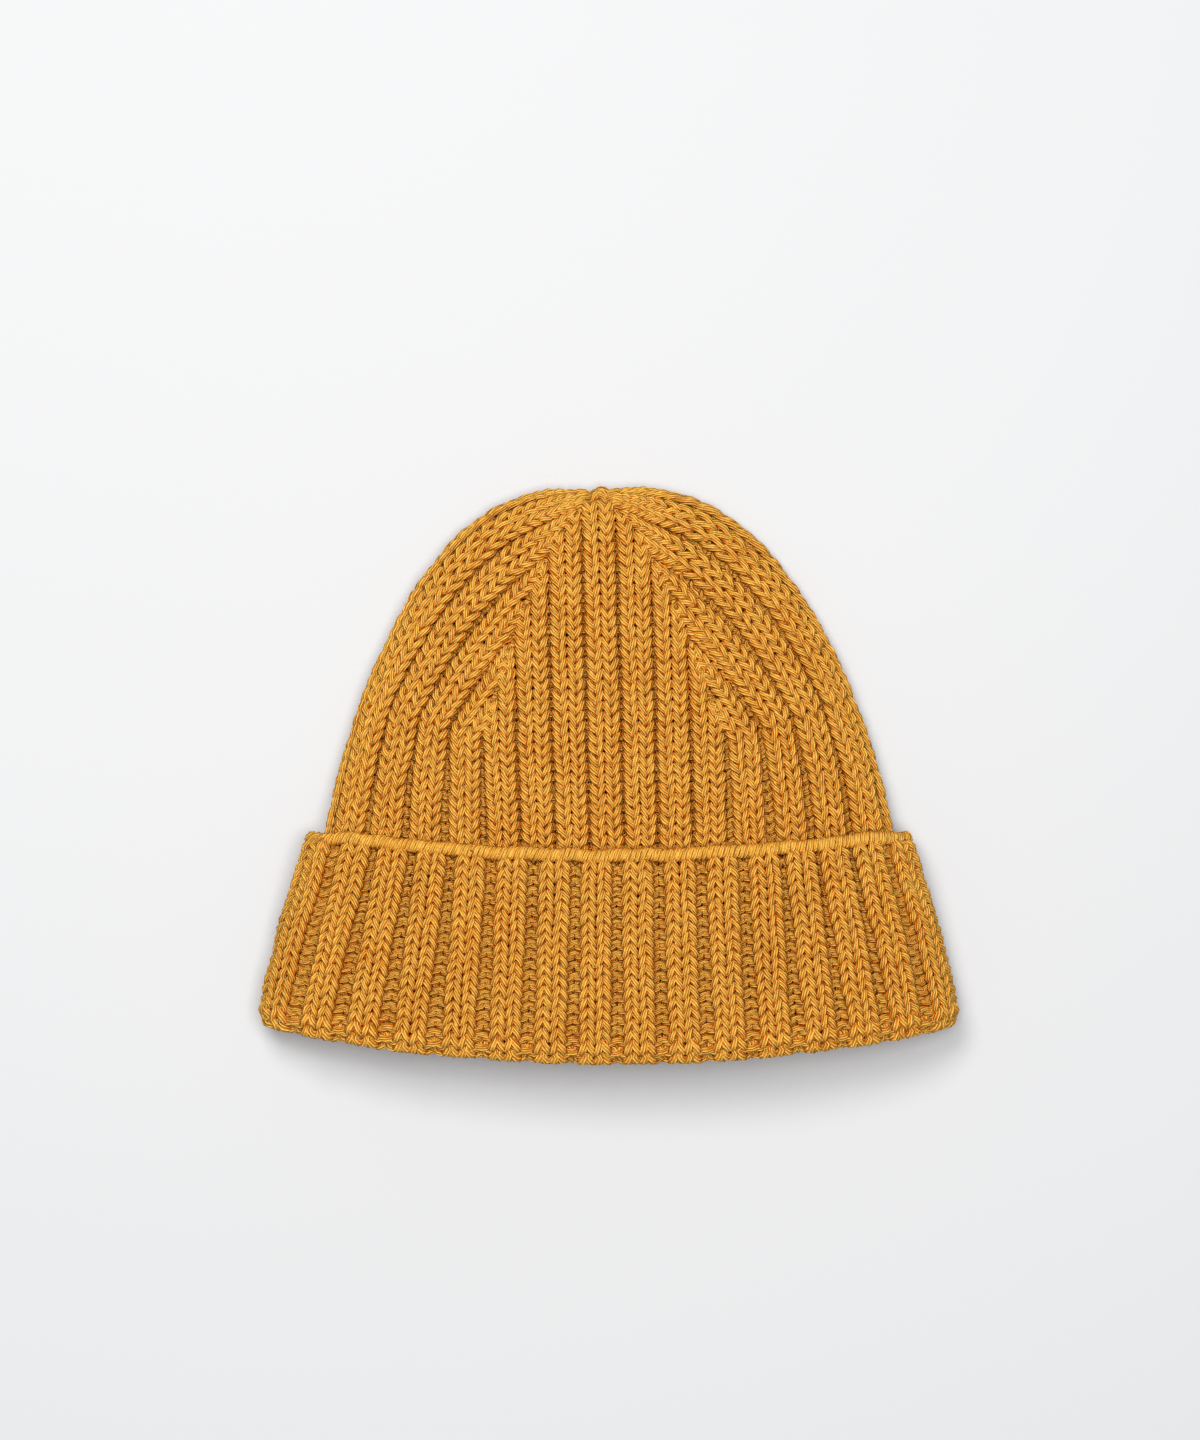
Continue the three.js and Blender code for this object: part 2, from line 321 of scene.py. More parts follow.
def stitch(row, m):
    """What a column's loop is like: its pair's middle, its side of the pair, which way it faces,
    how far its rib stands forward, and its width in columns. Beside a shaping line all face out."""
    pair = 2 * math.floor((m + 1) / 2)
    hand = 1 if m > pair else -1
    rib = 1 if pair % RIB_COLUMNS == 0 else -1
    from_line = from_corner(m) - row["lost"]
    near = smooth((SHAPING_REACH - from_line) / SHAPING_REACH) * min(row["lost"] / SHAPING_START, 1)
    level = mix(rib, SHAPING_LEVELS[rib > 0], near)
    ends = at_columns(row["points"], [pair - 1, pair + 1])
    pitch = max(np.linalg.norm(ends[1] - ends[0]) / 2, NARROWEST_COLUMN)
    wide = max(min(KNIT_WIDTH / pitch, RIB_COLUMNS * KNIT_SHARE), NARROWEST_LOOP)
    return pair, hand, 1 if near > 0.5 else rib, level, wide


def guide(name, sheet, numbers, columns, samples):
    """The strands of some rows and columns as bare edges that carry the sheet's directions."""
    data = dict(co=[], across=[], up=[], out=[], turn=[], plane=[], face=[], thick=[])
    edges = []
    count = 0
    t = np.arange(samples) / samples
    fade = np.cos(2 * math.pi * t) ** 2
    for number in numbers:
        row = {key: values[number - sheet["first"]] for key, values in sheet.items() if key != "first"}
        middle = np.arange(columns[0], columns[1]) + HALF_COLUMN
        u, turn, plane, face, width = [], [], [], [], []
        for m in middle[from_corner(middle) > row["lost"]]:
            pair, hand, faces, level, wide = stitch(row, m)
            other_faces, other_level = stitch(row, m + hand)[2:4]
            alike = faces == other_faces
            # The outer quarter of a pair's loop passes over to the next pair
            to_next = np.where(t > 0.75 if hand > 0 else t < 0.25, fade, 0)
            ends = at_columns(row["points"], [m - HALF_COLUMN, m + HALF_COLUMN])
            u.append(pair + hand * (wide / 2 + to_next * (1 - wide)) + wide * (t - 0.5))
            turn.append(t * 2 * math.pi)
            level = mix(level, (level + other_level) / 2 if alike else 0, to_next)
            plane.append(level * row["depth"] * np.ones(samples))
            flat = 1 - SIDE_FLATNESS * smooth(1 - from_side(m) / SIDE_FLAT_REACH)
            face.append(faces * flat * (1 if alike else 1 - to_next))
            width.append(np.full(samples, wide * np.linalg.norm(ends[1] - ends[0])))
        if not u:
            continue
        u, width = np.concatenate(u), np.concatenate(width)
        data["co"].append(at_columns(row["points"], u))
        data["across"].append(at_columns(row["along"], u) * width[:, None])
        data["up"].append(at_columns(row["up"], u))
        data["out"].append(at_columns(row["out"], u))
        data["turn"].append(np.concatenate(turn))
        data["plane"].append(np.concatenate(plane))
        data["thick"].append(np.full(len(u), row["thick"]))
        data["face"].append(np.concatenate([value * np.ones(samples) for value in face]))
        first = np.arange(count, count + len(u) - 1)
        edges.append(np.stack([first, first + 1], axis=1))
        count += len(u)
    mesh = bpy.data.meshes.new(name + "_guide")
    mesh.from_pydata(np.concatenate(data["co"]) * MM, np.concatenate(edges).tolist(), [])
    for key in ("across", "up", "out"):
        layer = mesh.attributes.new(key, "FLOAT_VECTOR", "POINT")
        scale = 1 if key == "out" else MM
        layer.data.foreach_set("vector", np.concatenate(data[key]).ravel() * scale)
    for key in ("turn", "plane", "face", "thick"):
        layer = mesh.attributes.new(key, "FLOAT", "POINT")
        layer.data.foreach_set("value", np.concatenate(data[key]))
    return bpy.data.objects.new(name + "_guide", mesh)


# How high yarn lies over the floor, in radii, how much the painted shade on its flanks counts
# where the knitting stands upright, and the scales of its small and its broad shifts
FLOOR_CLEARANCE = 1.1
SIDE_SHADE = 0.25
FINE_WANDER = 160.0
BROAD_WANDER = 25.0


class NodeTree:
    """A tree of geometry nodes with named inputs, and short spellings for its nodes."""

    def __init__(self, name, inputs):
        self.tree = bpy.data.node_groups.new(name, "GeometryNodeTree")
        face = self.tree.interface
        face.new_socket("Geometry", in_out="INPUT", socket_type="NodeSocketGeometry")
        for label, kind, value in inputs:
            socket = face.new_socket(label, in_out="INPUT", socket_type="NodeSocket" + kind)
            if value is not None:
                socket.default_value = value
        face.new_socket("Geometry", in_out="OUTPUT", socket_type="NodeSocketGeometry")
        self.given = self.tree.nodes.new("NodeGroupInput").outputs
        self.result = self.tree.nodes.new("NodeGroupOutput").inputs

    def feed(self, socket, value):
        if isinstance(value, bpy.types.NodeSocket):
            self.tree.links.new(value, socket)
        else:
            socket.default_value = value

    def add(self, kind, settings=None, **inputs):
        node = self.tree.nodes.new(kind)
        for key, value in (settings or {}).items():
            setattr(node, key, value)
        for key, value in inputs.items():
            self.feed(node.inputs[key.replace("_", " ")], value)
        return node

    def math(self, operation, *values):
        node = self.add("ShaderNodeMath", {"operation": operation})
        for socket, value in zip(node.inputs, values):
            self.feed(socket, value)
        return node.outputs[0]

    def vector(self, operation, first, second):
        node = self.add("ShaderNodeVectorMath", {"operation": operation})
        self.feed(node.inputs[0], first)
        if second is not None:
            self.feed(node.inputs["Scale" if operation == "SCALE" else 1], second)
        return node.outputs[0]

    def total(self, *vectors):
        result = vectors[0]
        for each in vectors[1:]:
            result = self.vector("ADD", result, each)
        return result

    def named(self, name, kind="FLOAT"):
        return self.add("GeometryNodeInputNamedAttribute", {"data_type": kind}, Name=name).outputs[0]

    def store(self, geometry, name, kind, value):
        node = self.add("GeometryNodeStoreNamedAttribute", {"data_type": kind, "domain": "POINT"})
        for label, given in (("Geometry", geometry), ("Name", name), ("Value", value)):
            self.feed(node.inputs[label], given)
        return node.outputs[0]

    def wander(self, scale, reach):
        """A smooth random shift of each point, the same on every run."""
        spot = dict(Vector=self.add("GeometryNodeInputPosition").outputs[0], W=self.given["Seed"])
        noise = self.add("ShaderNodeTexNoise", {"noise_dimensions": "4D"}, Scale=scale, **spot)
        shift = self.vector("SUBTRACT", noise.outputs["Color"], (0.5, 0.5, 0.5))
        return self.vector("SCALE", shift, reach)

    def spin_yarn(self, points):
        """Turns lines of points into round yarn that lies on the floor at the lowest. It keeps the
        way round and along the yarn for the twist of its plies, how far each face of it looks out of
        the knitting, and how far it looks aside, as the mask of painted shade on the yarn's flanks,
        which counts less where the knitting stands upright."""
        given = self.given
        spot = self.add("GeometryNodeInputPosition").outputs[0]
        spot = self.add("ShaderNodeSeparateXYZ", Vector=spot).outputs
        lowest = self.math("MULTIPLY", given["Yarn Radius"], FLOOR_CLEARANCE)
        height = self.math("MAXIMUM", spot["Z"], lowest)
        resting = self.add("ShaderNodeCombineXYZ", X=spot["X"], Y=spot["Y"], Z=height).outputs[0]
        points = self.add("GeometryNodeSetPosition", Geometry=points, Position=resting).outputs[0]
        curve = self.add("GeometryNodeMeshToCurve", Mesh=points).outputs[0]
        length = self.add("GeometryNodeSplineParameter").outputs["Length"]
        curve = self.store(curve, "yarn_run", "FLOAT", length)
        size = dict(Resolution=given["Yarn Sides"], Radius=given["Yarn Radius"])
        circle = self.add("GeometryNodeCurvePrimitiveCircle", **size)
        part = self.add("GeometryNodeSplineParameter").outputs["Factor"]
        angle = self.math("MULTIPLY", part, 2 * math.pi)
        sides = dict(X=self.math("COSINE", angle), Y=self.math("SINE", angle), Z=0.0)
        around = self.add("ShaderNodeCombineXYZ", **sides).outputs[0]
        profile = self.store(circle.outputs[0], "yarn_round", "FLOAT_VECTOR", around)
        legs = self.math("COSINE", self.math("MULTIPLY", self.named("turn"), 2.0))
        swell = self.math("SUBTRACT", self.named("thick"), self.math("MULTIPLY", legs, given["Leg Swell"]))
        tube = dict(Curve=curve, Profile_Curve=profile, Scale=swell, Fill_Caps=True)
        tube = self.add("GeometryNodeCurveToMesh", **tube)
        out = self.vector("NORMALIZE", self.named("out", "FLOAT_VECTOR"), None)
        normal = self.add("GeometryNodeInputNormal").outputs[0]
        facing = self.add("ShaderNodeVectorMath", {"operation": "DOT_PRODUCT"})
        self.feed(facing.inputs[0], normal)
        self.feed(facing.inputs[1], out)
        piece = self.store(tube.outputs[0], "yarn_top", "FLOAT", facing.outputs["Value"])
        # Painted shade: where a face looks aside from the knitting, a mask darkens its colour, less so
        # where the knitting stands upright
        level = self.math("ABSOLUTE", self.add("ShaderNodeSeparateXYZ", Vector=out).outputs["Z"])
        level = self.math("MULTIPLY_ADD", level, 1 - SIDE_SHADE, SIDE_SHADE)
        flank_shade_mask = self.math("SUBTRACT", 1.0, self.math("ABSOLUTE", facing.outputs["Value"]))
        piece = self.store(piece, "yarn_flank_shade", "FLOAT", self.math("MULTIPLY", flank_shade_mask, level))
        for name in ("across", "up", "out", "turn", "plane", "face", "thick"):
            piece = self.add("GeometryNodeRemoveAttribute", Geometry=piece, Name=name).outputs[0]
        return piece

    def finish(self, piece):
        piece = self.add("GeometryNodeRealizeInstances", Geometry=piece).outputs[0]
        piece = self.add("GeometryNodeSetShadeSmooth", Geometry=piece).outputs[0]
        material = self.given["Material"]
        piece = self.add("GeometryNodeSetMaterial", Geometry=piece, Material=material).outputs[0]
        self.tree.links.new(piece, self.result[0])
        return self.tree


def loop_tree():
    """Each strand swings sideways, climbs to its head and comes down again in every column."""
    g = NodeTree("knitted loops", [
        ("Loop Height", "Float", 0.80),
        ("Loop Swing", "Float", 0.26),
        ("Rib Depth", "Float", 1.5 * MM),
        ("Loop Depth", "Float", 1.15 * MM),
        ("Loop Overlap", "Float", 0.25 * MM),
        ("Unevenness", "Float", 1.5 * MM),
        ("Sag", "Float", 1.6 * MM),
        ("Yarn Radius", "Float", 1.1 * MM),
        ("Leg Swell", "Float", 0.2),
        ("Yarn Sides", "Int", 6),
        ("Seed", "Float", 4.0),
        ("Material", "Material", None),
    ])
    given = g.given
    turn = g.named("turn")
    once, twice = g.math("COSINE", turn), g.math("COSINE", g.math("MULTIPLY", turn, 2.0))
    swing = g.math("SINE", g.math("MULTIPLY", turn, 2.0))
    swing = g.math("MULTIPLY", swing, given["Loop Swing"])
    climb = g.math("MULTIPLY", g.math("MULTIPLY", once, given["Loop Height"]), -1.0)
    bulge = g.math("MULTIPLY", twice, g.math("MULTIPLY", given["Loop Depth"], -1.0))
    bulge = g.math("ADD", bulge, g.math("MULTIPLY", once, given["Loop Overlap"]))
    rib = g.math("MULTIPLY", g.named("plane"), given["Rib Depth"])
    forward = g.math("ADD", rib, g.math("MULTIPLY", bulge, g.named("face")))
    offset = g.total(
        g.vector("SCALE", g.named("across", "FLOAT_VECTOR"), swing),
        g.vector("SCALE", g.named("up", "FLOAT_VECTOR"), climb),
        g.vector("SCALE", g.named("out", "FLOAT_VECTOR"), forward),
        g.wander(FINE_WANDER, given["Unevenness"]),
        g.wander(BROAD_WANDER, given["Sag"]),
    )
    points = g.add("GeometryNodeSetPosition", Geometry=given["Geometry"], Offset=offset).outputs[0]
    return g.finish(g.spin_yarn(points))


# Look of the wool: the plies and their twist, then streaks, hair, dye and flanks, each with its
# scale and with its share in the colour or in the relief. The plies paint shade into their grooves
# and highlight onto their crests, and the flanks paint shade.
PLIES = 7.0
PLY_TWIST = 1600.0
PLY_GROOVE = 0.06
STREAKS_ACROSS = 0.7
STREAKS_ALONG = 420.0
STREAK_LIGHT = 0.6
STREAK_RELIEF = 0.8
HAIR_SCALE = 2200.0
HAIR_LIGHT = 0.3
HAIR_RELIEF = 0.4
DYE_SCALE = 90.0
DYE_RANGE = 0.6
FLANK_POWER = 1.5
FLANK_SHADE = 1.7
WOOL_RELIEF = 0.8 * MM
# The two ends of the wool's colour: its lighter dye and painted highlight, then its darker dye and painted
# shade
WOOL_LIGHT_AND_HIGHLIGHT = (1.0, 0.56, 0.094)
WOOL_DARK_AND_SHADE = (0.6, 0.12, 0.0)


def wool(name, light, dark):
    """Wool yarn of fine plies wound round each other, with hairy fibres and an uneven dye. Shade is
    painted into its colour in the grooves between the plies and on the flanks of the yarn, and
    highlight on the crests of the plies."""
    material = bpy.data.materials.new(name)
    material.use_nodes = True
    nodes, links = material.node_tree.nodes, material.node_tree.links
    shader = nodes["Principled BSDF"]
    shader.inputs["Roughness"].default_value = 0.85
    shader.inputs["Specular IOR Level"].default_value = 0.02
    shader.inputs["Sheen Weight"].default_value = 0.03
    shader.inputs["Sheen Roughness"].default_value = 0.4
    shader.inputs["Sheen Tint"].default_value = (1.0, 0.72, 0.3, 1)

    def feed(socket, value):
        if isinstance(value, bpy.types.NodeSocket):
            links.new(value, socket)
        else:
            socket.default_value = value

    def calc(operation, *values):
        node = nodes.new("ShaderNodeMath")
        node.operation = operation
        for socket, value in zip(node.inputs, values):
            feed(socket, value)
        return node.outputs[0]

    def noise(vector, scale, detail):
        node = nodes.new("ShaderNodeTexNoise")
        links.new(vector, node.inputs["Vector"])
        node.inputs["Scale"].default_value = scale
        node.inputs["Detail"].default_value = detail
        return node.outputs["Fac"]

    around = nodes.new("ShaderNodeAttribute")
    around.attribute_name = "yarn_round"
    parts = nodes.new("ShaderNodeSeparateXYZ")
    links.new(around.outputs["Vector"], parts.inputs[0])
    run = nodes.new("ShaderNodeAttribute")
    run.attribute_name = "yarn_run"
    angle = calc("ARCTAN2", parts.outputs[1], parts.outputs[0])
    wound = calc("ADD", calc("MULTIPLY", angle, PLIES), calc("MULTIPLY", run.outputs["Fac"], PLY_TWIST))
    # The plies' colour: painted shade in the grooves between them and painted highlight on their crests.
    # The same waves give the real relief of the bump below.
    ply = calc("ADD", calc("MULTIPLY", calc("SINE", wound), 0.5), 0.5)
    streak_at = nodes.new("ShaderNodeCombineXYZ")
    feed(streak_at.inputs["X"], calc("MULTIPLY", wound, STREAKS_ACROSS))
    feed(streak_at.inputs["Y"], calc("MULTIPLY", run.outputs["Fac"], STREAKS_ALONG))
    streak = noise(streak_at.outputs[0], 1.0, 2)
    place = nodes.new("ShaderNodeTexCoord").outputs["Object"]
    hair = noise(place, HAIR_SCALE, 2)
    dye = noise(place, DYE_SCALE, 3)
    # How light the colour is: painted ply shade and highlight, then streaks, hair and uneven dye that the
    # wool has, then painted flank shade
    amount = calc("ADD", calc("SUBTRACT", ply, PLY_GROOVE), calc("MULTIPLY", streak, STREAK_LIGHT))
    amount = calc("ADD", amount, calc("MULTIPLY", calc("SUBTRACT", dye, 0.5), DYE_RANGE))
    amount = calc("ADD", amount, calc("MULTIPLY", hair, HAIR_LIGHT))
    # Painted shade on the flanks of the yarn, where its faces look aside from the knitting
    flank_shade_mask = nodes.new("ShaderNodeAttribute")
    flank_shade_mask.attribute_name = "yarn_flank_shade"
    painted_flank_shade = calc("MULTIPLY", calc("POWER", flank_shade_mask.outputs["Fac"], FLANK_POWER), FLANK_SHADE)
    amount = calc("SUBTRACT", amount, painted_flank_shade)
    blend = nodes.new("ShaderNodeMix")
    blend.data_type = "RGBA"
    links.new(amount, blend.inputs["Factor"])
    blend.inputs["A"].default_value = (*dark, 1)
    blend.inputs["B"].default_value = (*light, 1)
    links.new(blend.outputs["Result"], shader.inputs["Base Color"])
    fibres = calc("ADD", calc("MULTIPLY", streak, STREAK_RELIEF), calc("MULTIPLY", hair, HAIR_RELIEF))
    relief = calc("ADD", ply, fibres)
    bump = nodes.new("ShaderNodeBump")
    bump.inputs["Strength"].default_value = 1.0
    bump.inputs["Distance"].default_value = WOOL_RELIEF
    links.new(relief, bump.inputs["Height"])
    links.new(bump.outputs["Normal"], shader.inputs["Normal"])
    return material


crown_wool = wool("mustard wool of the crown", WOOL_LIGHT_AND_HIGHLIGHT, WOOL_DARK_AND_SHADE)
loops = loop_tree()


def shape_with(tree, name, source, node, values):
    """Runs a tree on a guide and keeps its result as a plain mesh."""
    bpy.context.scene.collection.objects.link(source)
    modifier = source.modifiers.new(tree.name, "NODES")
    modifier.node_group = tree
    for item in tree.interface.items_tree:
        if item.in_out == "INPUT" and item.name in values:
            modifier[item.identifier] = values[item.name]
    bpy.context.view_layer.update()
    made = source.evaluated_get(bpy.context.evaluated_depsgraph_get())
    piece = bpy.data.objects.new(name, bpy.data.meshes.new_from_object(made))
    bpy.data.objects.remove(source)
    bpy.context.scene.collection.objects.link(piece)
    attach(piece, "root")
    if node:
        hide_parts(node)
    return piece


# Columns that show from the front, and how finely the yarn is drawn where it shows less. Depth
# of the ribs and thickness of the yarn go by row: in the fold the ribs flatten and the rows
# spread, so the yarn there is fuller.
FRONT_REACH = QUARTER_ROUND + 2
FRONT = (-FRONT_REACH, FRONT_REACH)
BACK = (FRONT_REACH, COLUMNS - FRONT_REACH)
ALL_ROUND = (-FRONT_REACH, COLUMNS - FRONT_REACH)
FINE = dict(samples=12, sides=6)
COARSE = dict(samples=8, sides=5)
HIDDEN = dict(samples=6, sides=4)
LAST_ROW = BODY_ROWS + SHAPED_ROWS
RIB_DEPTH = [(-1, 0.3), (1, 0.5), (4, 1), (LAST_ROW - 4, 1), (LAST_ROW, 0.4)]
THICKNESS = [(0, 1.3), (1, 1.2), (2, 1)]
body = lay_sheet(range(0, LAST_ROW + 1), body_ring, RIB_DEPTH, THICKNESS)


def knit(name, sheet, numbers, columns, detail, node, values):
    """Knits some rows and columns of a sheet."""
    source = guide(name, sheet, numbers, columns, detail["samples"])
    return shape_with(loops, name, source, node, {**values, "Yarn Sides": detail["sides"]})


CUFF_END = 19
for name, numbers, columns, detail in (
    ("crown_inside_cuff", range(0, CUFF_END), ALL_ROUND, HIDDEN),
    ("crown_front_lower", range(CUFF_END, BODY_ROWS), FRONT, FINE),
    ("crown_back_lower", range(CUFF_END, BODY_ROWS), BACK, COARSE),
    ("crown_front_shaped", range(BODY_ROWS, LAST_ROW + 1), FRONT, FINE),
    ("crown_back_shaped", range(BODY_ROWS, LAST_ROW + 1), BACK, COARSE),
):
    knit(name, body, numbers, columns, detail, "crown", {"Material": crown_wool})


# Turned cuff. The end of the same knitting, folded up once round the outside, so its reverse
# shows: the columns that stand back on the crown stand forward here, and the loops point down.
# It is a little stretched, so the hollows between its ribs stay open.
CUFF_TOP_COLUMN = 3.42
CUFF_TOP_RISE = 6.7
CUFF_CORNER_DROOP = 4.5
CUFF_DROOP_DEPTH = 0.5
CUFF_LENGTH = QUARTER_TURN + CUFF_TOP_Y - FOLD_Y
CUFF_ROWS = 19
CUFF_SPLIT = 10
CUFF_RIB = 1.55 * MM
CAST_ON_DROP = 3.2


def cuff_row(y):
    """A row of the cuff, whose top corners droop a little at the sides."""
    below = (CUFF_TOP_Y - y) / (CUFF_TOP_Y - FOLD_Y)
    half = PANEL_HALF * mix(CUFF_TOP_COLUMN, FOLD_COLUMN, below)
    rise = mix(CUFF_TOP_RISE, FOLD_RISE, below)
    droop = CUFF_CORNER_DROOP * max(1 - below / CUFF_DROOP_DEPTH, 0)
    row = dict(y=y, centre=FOLD_CENTRE, half=half, rise=rise, droop=droop)
    return dict(above=0, lost=0, shaped=False, **row)


def cuff_ring(number):
    """Rows are counted down from the cast-on edge to the middle of the fold."""
    run = CUFF_LENGTH - mix(CAST_ON_DROP, CUFF_LENGTH, (number + 0.5) / CUFF_ROWS)
    if run < QUARTER_TURN:
        return fold_ring(-run) + (0,)
    return ring(cuff_row(FOLD_Y + run - QUARTER_TURN), LAYER_STEP) + (0,)


cuff_wool = wool("mustard wool of the cuff", WOOL_LIGHT_AND_HIGHLIGHT, WOOL_DARK_AND_SHADE)
CUFF_RIB_DEPTH = [(-1, 0.7), (2, 1), (CUFF_ROWS - 5, 1), (CUFF_ROWS - 2, 0.5), (CUFF_ROWS, 0.25)]
CUFF_THICKNESS = [(CUFF_ROWS - 3, 1), (CUFF_ROWS - 2, 1.2), (CUFF_ROWS - 1, 1.3)]
cuff = lay_sheet(range(0, CUFF_ROWS), cuff_ring, CUFF_RIB_DEPTH, CUFF_THICKNESS)
for name, numbers, columns, detail in (
    ("cuff_front_above", range(0, CUFF_SPLIT), FRONT, FINE),
    ("cuff_front_below", range(CUFF_SPLIT, CUFF_ROWS), FRONT, FINE),
    ("cuff_back", range(0, CUFF_ROWS), BACK, COARSE),
):
    values = {"Material": cuff_wool, "Rib Depth": CUFF_RIB}
    knit(name, cuff, numbers, columns, detail, "turned_cuff", values)


# Cast-on edge. The first row of the knitting is two strands of the wool laid over each other,
# one turn to a column, which makes a soft round cord along the top of the cuff.
def unit(vectors):
    return vectors / np.linalg.norm(vectors, axis=1, keepdims=True)


def cord_guide(name, points, up, out, turns):
    """A line of points with the directions that a strand winds through round it."""
    mesh = bpy.data.meshes.new(name)
    start = np.arange(len(points) - 1)
    mesh.from_pydata(points * MM, np.stack([start, start + 1], axis=1).tolist(), [])
    for key, values in (("up", up), ("out", out)):
        layer = mesh.attributes.new(key, "FLOAT_VECTOR", "POINT")
        layer.data.foreach_set("vector", unit(values).ravel())
    mesh.attributes.new("turn", "FLOAT", "POINT").data.foreach_set("value", turns * 2 * math.pi)
    mesh.attributes.new("thick", "FLOAT", "POINT").data.foreach_set("value", np.ones(len(points)))
    return bpy.data.objects.new(name, mesh)


# The cast-on cord's dark end, its darker dye and painted shade, is paler than the crown's, so the cord's
# grooves and flanks are painted less shaded
EDGE_DARK_AND_SHADE = (0.74, 0.22, 0.01)


def edge_tree():
    """A strand winds round its line, one turn in every column."""
    g = NodeTree("cast-on cord", [
        ("Cord Height", "Float", 1.3 * MM),
        ("Cord Depth", "Float", 0.8 * MM),
        ("Cord Forward", "Float", 1.4 * MM),
        ("Unevenness", "Float", 2.0 * MM),
        ("Yarn Radius", "Float", 1.35 * MM),
        ("Leg Swell", "Float", 0.0),
        ("Yarn Sides", "Int", 6),
        ("Seed", "Float", 9.0),
        ("Material", "Material", None),
    ])
    given = g.given
    turn = g.named("turn")
    climb = g.math("MULTIPLY", g.math("SINE", turn), given["Cord Height"])
    forward = g.math("MULTIPLY", g.math("COSINE", turn), given["Cord Depth"])
    forward = g.math("ADD", given["Cord Forward"], forward)
    offset = g.total(
        g.vector("SCALE", g.named("up", "FLOAT_VECTOR"), climb),
        g.vector("SCALE", g.named("out", "FLOAT_VECTOR"), forward),
        g.wander(FINE_WANDER, given["Unevenness"]),
    )
    points = g.add("GeometryNodeSetPosition", Geometry=given["Geometry"], Offset=offset).outputs[0]
    return g.finish(g.spin_yarn(points))


cord = edge_tree()
edge_wool = wool("fuzzy mustard wool of the cast-on edge", WOOL_LIGHT_AND_HIGHLIGHT, EDGE_DARK_AND_SHADE)
CORD_STEPS = 7
CAST_ON_SIDE = 31
CAST_ON_INSET = 1.8
CAST_ON_EASE = 5
edge_points, edge_along = ring(cuff_row(CUFF_TOP_Y - CAST_ON_DROP / 2), LAYER_STEP)
edge_down = ring(cuff_row(CUFF_TOP_Y - CAST_ON_DROP / 2 - 1), LAYER_STEP)[0] - edge_points
edge_turns = np.arange(COLUMNS * CORD_STEPS + 1) / CORD_STEPS
edge_line, edge_up, edge_out = (
    at_columns(values, edge_turns - PANEL_HALF)
    for values in (edge_points, -edge_down, np.cross(edge_down, edge_along))
)
from_middle = np.abs((edge_turns - PANEL_HALF + HALF_ROUND) % COLUMNS - HALF_ROUND)
at_side = smooth(1 - np.abs(from_middle - CAST_ON_SIDE) / CAST_ON_EASE)
edge_line = edge_line - CAST_ON_INSET * at_side[:, None] * unit(edge_out)
for strand in (0, 1):
    source = cord_guide("cast_on_guide", edge_line, edge_up, edge_out, edge_turns + strand / 2)
    values = {"Material": edge_wool}
    shape_with(cord, f"cast_on_edge_{strand + 1}", source, "turned_cuff", values)


# Joined stitches. Along each shaping line two stitches at a time are knitted together, and the
# strand that holds them passes behind the ribs, up to the tip.
LINE_STEPS = 5
SHAPING_LINES = (PANEL_HALF, HALF_ROUND - PANEL_HALF, HALF_ROUND + PANEL_HALF, -PANEL_HALF)
JOINED_CORD = {"Cord Height": 0.9 * MM, "Cord Depth": 0.4 * MM, "Cord Forward": -1.0 * MM}
line_rows = np.arange((LAST_ROW - BODY_ROWS) * LINE_STEPS + 1) / LINE_STEPS
for number, column in enumerate(SHAPING_LINES):
    down = {key: [] for key in ("points", "along", "out")}
    for row in range(BODY_ROWS, LAST_ROW + 1):
        for key in down:
            down[key].append(at_columns(body[key][row], [column])[0])
    line, across, out = (
        np.stack([np.interp(line_rows, range(len(values)), values[:, k]) for k in range(3)], axis=1)
        for values in map(np.array, down.values())
    )
    source = cord_guide("joined_guide", line, across, out, line_rows)
    values = {"Material": crown_wool, **JOINED_CORD}
    shape_with(cord, f"joined_stitches_{number + 1}", source, "crown", values)


# Drawn-up tip. The end of the yarn is threaded through the last loops and pulled tight, so it
# closes the tip in a small round gather from the front to the back.
TIP_TURNS = 13
TIP_REACH = SIDE_COLUMNS / 2 - PANEL_HALF
TIP_CORD = {"Cord Height": 0.8 * MM, "Cord Depth": 0.5 * MM, "Cord Forward": -0.1 * MM}
tip_row = {key: body[key][LAST_ROW] for key in ("points", "up", "out")}
tip_turns = np.arange(TIP_TURNS * CORD_STEPS) / CORD_STEPS
tip_columns = QUARTER_ROUND + (tip_turns / tip_turns[-1] - 0.5) * 2 * TIP_REACH
tip_line, tip_up, tip_out = (at_columns(tip_row[key], tip_columns) for key in ("points", "up", "out"))
source = cord_guide("tip_guide", tip_line, tip_up, tip_out, tip_turns)
values = {"Material": crown_wool, **TIP_CORD}
shape_with(cord, "drawn_up_tip", source, "crown", values)


# Fuzz. Fine loose fibres of the same wool stand out of the yarn all over the side that shows.
# Each is a thin spike that holds in the yarn by its foot, and the cast-on edge has the most.
FIBRES = 230000.0
CAST_ON_FIBRES = 600000.0
FIBRE_SIDES = 3
SHORTEST_FIBRE = 0.4
OUTER_FACE = 0.45


